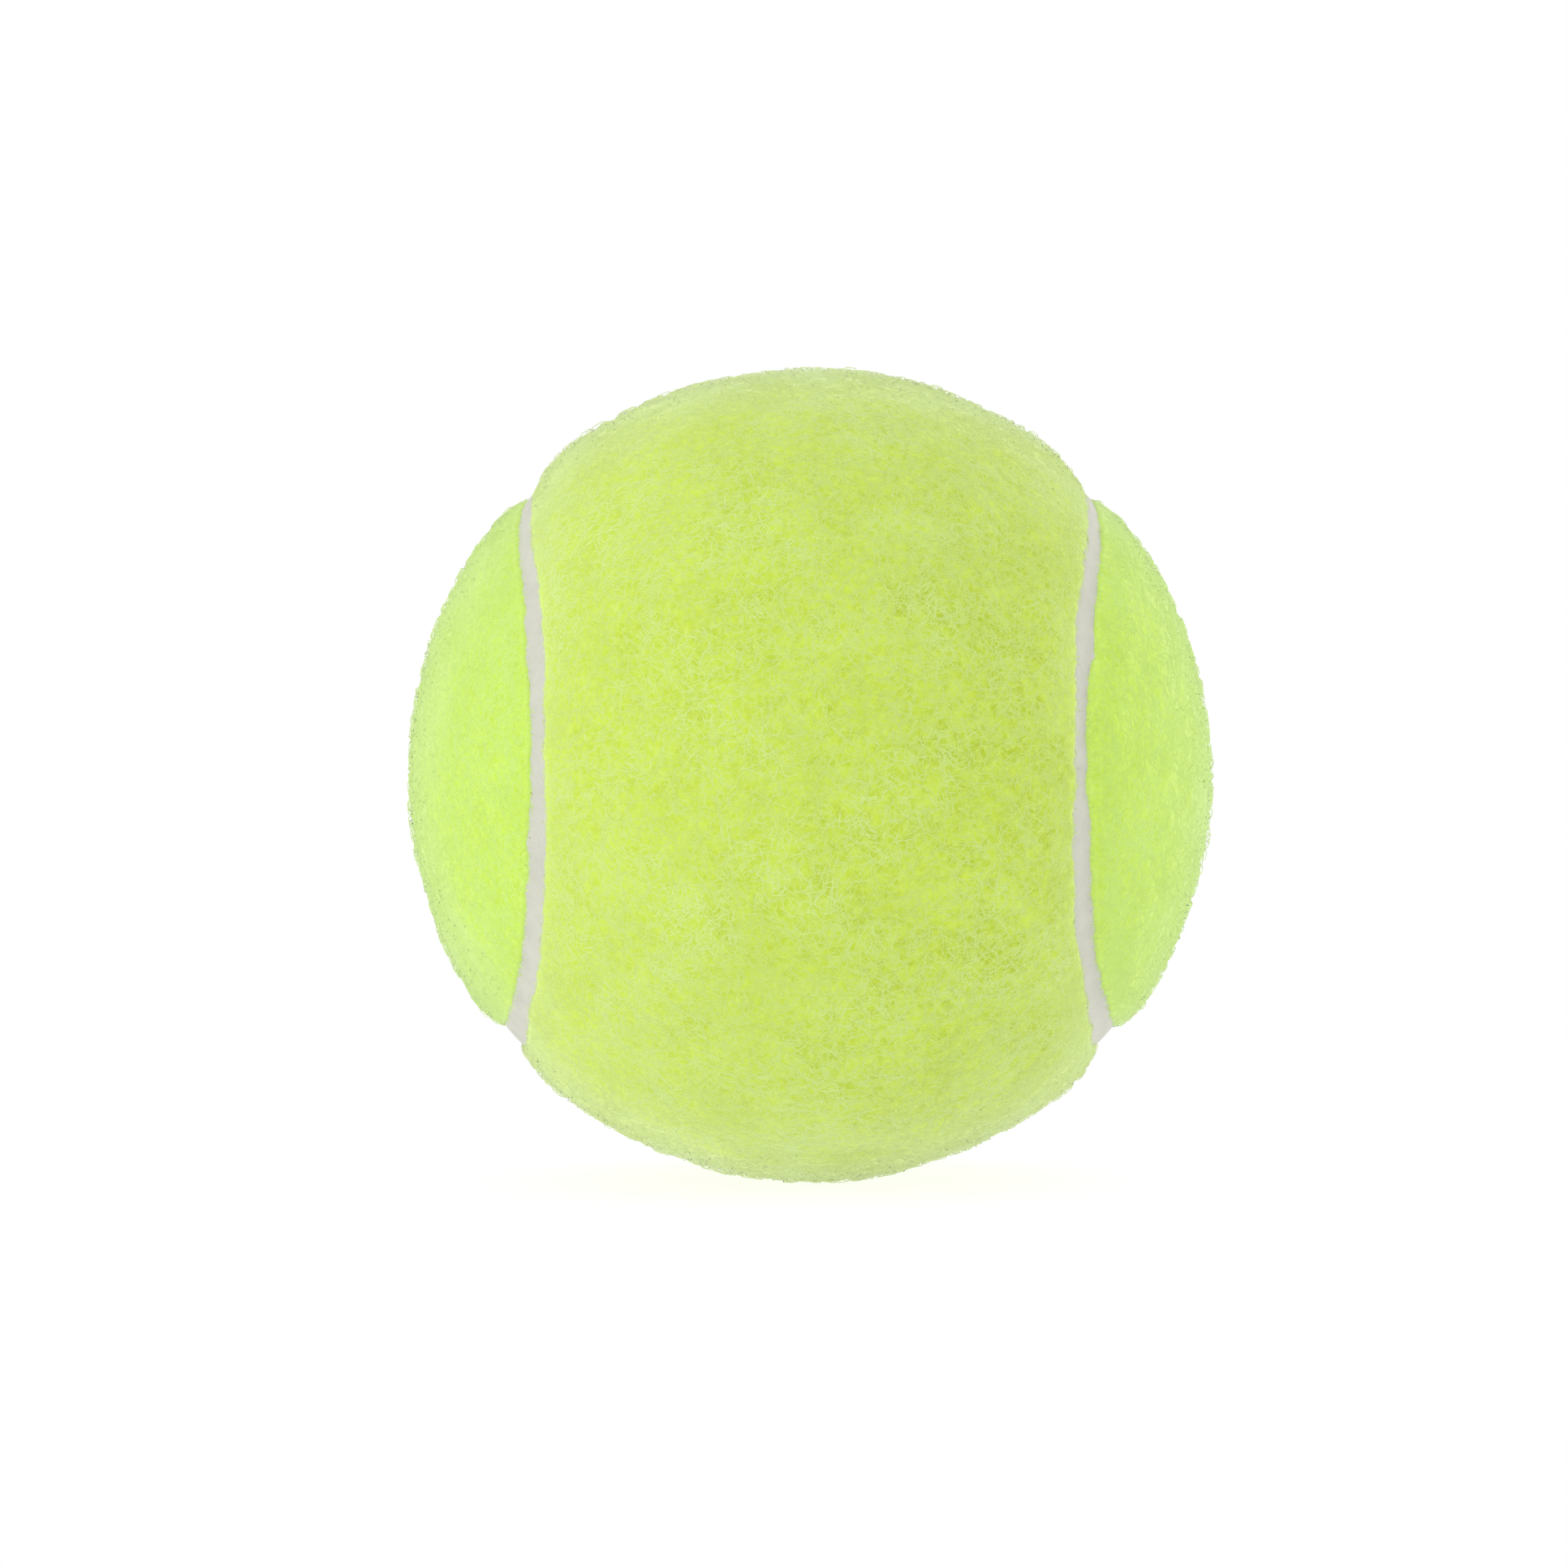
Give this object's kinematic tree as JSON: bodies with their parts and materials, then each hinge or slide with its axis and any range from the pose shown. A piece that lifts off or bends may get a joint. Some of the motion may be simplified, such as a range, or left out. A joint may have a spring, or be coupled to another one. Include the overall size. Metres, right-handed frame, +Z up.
{
  "type": "tennis ball",
  "caption": "Felt-covered hollow rubber ball for tennis: dumbbell-shaped felt panels bonded over a sealed core, meeting at one curved, recessed rubber seam line.",
  "frame": {"origin": "the centre of the ball", "axes": "+Z up. -Y points at the middle of the front felt panel's waist, and +X at the middle of a side lobe of the rear panel."},
  "size_m": [0.067, 0.067, 0.067],
  "materials": {
    "core_rubber": "moulded and tumbled, matt",
    "bond_cement": "cured rubber cement",
    "coat_cement": "brushed rubber solution, satin",
    "panel_cement": "rubber solution on cloth, matt",
    "felt": "raised wool and nylon nap",
    "seam": "smooth, matt"
  },
  "bodies": {
    "root": {"core_half_upper": "core_rubber", "core_half_lower": "core_rubber", "core_bond_ring": "bond_cement", "core_cement_coat": "coat_cement", "panel_backing_front": "panel_cement", "panel_backing_rear": "panel_cement", "felt_panel_front": "felt", "felt_panel_rear": "felt", "seam_rubber": "seam"}
  },
  "joints": []
}
